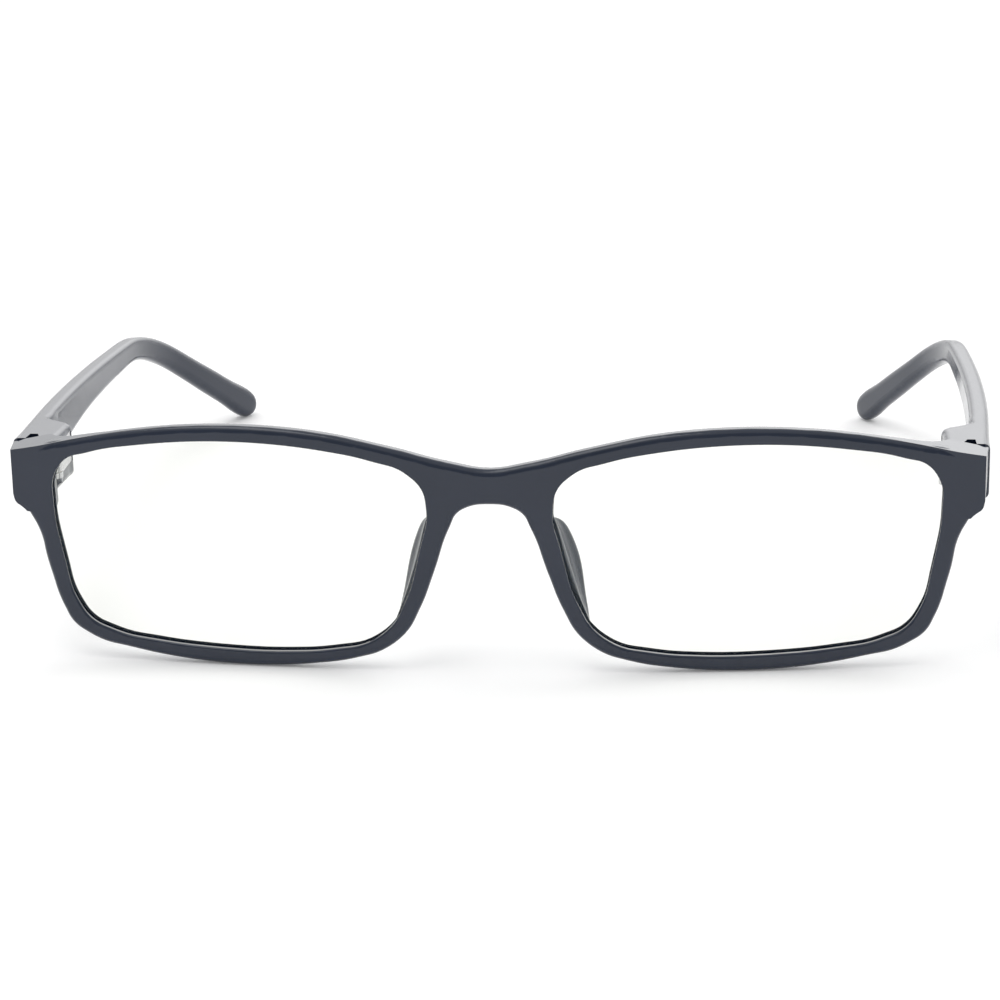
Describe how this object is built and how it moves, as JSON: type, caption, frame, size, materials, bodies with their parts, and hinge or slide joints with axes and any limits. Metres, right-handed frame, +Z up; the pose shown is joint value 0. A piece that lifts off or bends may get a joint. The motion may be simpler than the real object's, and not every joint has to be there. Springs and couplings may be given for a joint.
{
  "type": "blue light glasses",
  "caption": "Full-rim rectangular glasses with clear flat-look lenses, moulded nose pads and sprung folding temples, for filtering screen light.",
  "frame": {"origin": "centre of the bounding box's bottom face, with the glasses open and standing on the rims and temple tips", "axes": "+X to the side of the temple called right, +Y from the front towards the temple tips, +Z up; the front stands upright in XZ"},
  "size_m": [0.146, 0.1334, 0.0362],
  "materials": {
    "frame_plastic": "polished dark navy plastic",
    "temple_plastic": "polished dark navy plastic",
    "lens": "clear lens with a faint warm filter tint",
    "hinge_steel": "satin",
    "screw_steel": "bright",
    "spring_steel": "drawn wire",
    "washer_plastic": "natural nylon"
  },
  "bodies": {
    "front": {"front_frame": "frame_plastic", "right_lens": "lens", "left_lens": "lens", "right_hinge_leaf": "hinge_steel", "left_hinge_leaf": "hinge_steel"},
    "right_pin": {"right_hinge_screw": "screw_steel", "right_upper_washer": "washer_plastic", "right_lower_washer": "washer_plastic"},
    "right_carriage": {"right_hinge_carriage": "hinge_steel", "right_spring_stop": "hinge_steel"},
    "right_arm": {"right_temple": "temple_plastic", "right_spring_housing": "hinge_steel", "right_locking_pin": "screw_steel", "right_hinge_spring": "spring_steel"},
    "left_pin": {"left_hinge_screw": "screw_steel", "left_upper_washer": "washer_plastic", "left_lower_washer": "washer_plastic"},
    "left_carriage": {"left_hinge_carriage": "hinge_steel", "left_spring_stop": "hinge_steel"},
    "left_arm": {"left_temple": "temple_plastic", "left_spring_housing": "hinge_steel", "left_locking_pin": "screw_steel", "left_hinge_spring": "spring_steel"}
  },
  "joints": [
    {"name": "right_fold", "type": "hinge", "parent": "front", "child": "right_pin", "pos_m": [0.065, -0.05551, 0.0274], "axis": [0, 0, 1], "range_deg": [0, 72]},
    {"name": "right_flex", "type": "hinge", "parent": "right_pin", "child": "right_carriage", "pos_m": [0.065, -0.05551, 0.0274], "axis": [0, 0, -1], "range_deg": [0, 3]},
    {"name": "right_spring_slide", "type": "slide", "parent": "right_carriage", "child": "right_arm", "axis": [0, 1, 0], "range_m": [0, 0.00035], "deforming": ["right_hinge_spring"]},
    {"name": "left_fold", "type": "hinge", "parent": "front", "child": "left_pin", "pos_m": [-0.065, -0.05551, 0.0274], "axis": [0, 0, -1], "range_deg": [0, 87]},
    {"name": "left_flex", "type": "hinge", "parent": "left_pin", "child": "left_carriage", "pos_m": [-0.065, -0.05551, 0.0274], "axis": [0, 0, 1], "range_deg": [0, 3]},
    {"name": "left_spring_slide", "type": "slide", "parent": "left_carriage", "child": "left_arm", "axis": [0, 1, 0], "range_m": [0, 0.00035], "deforming": ["left_hinge_spring"]}
  ],
  "couplings": [
    {"joint": "right_spring_slide", "follows": "right_flex", "m_per_rad": 0.0065},
    {"joint": "left_spring_slide", "follows": "left_flex", "m_per_rad": 0.0065}
  ]
}
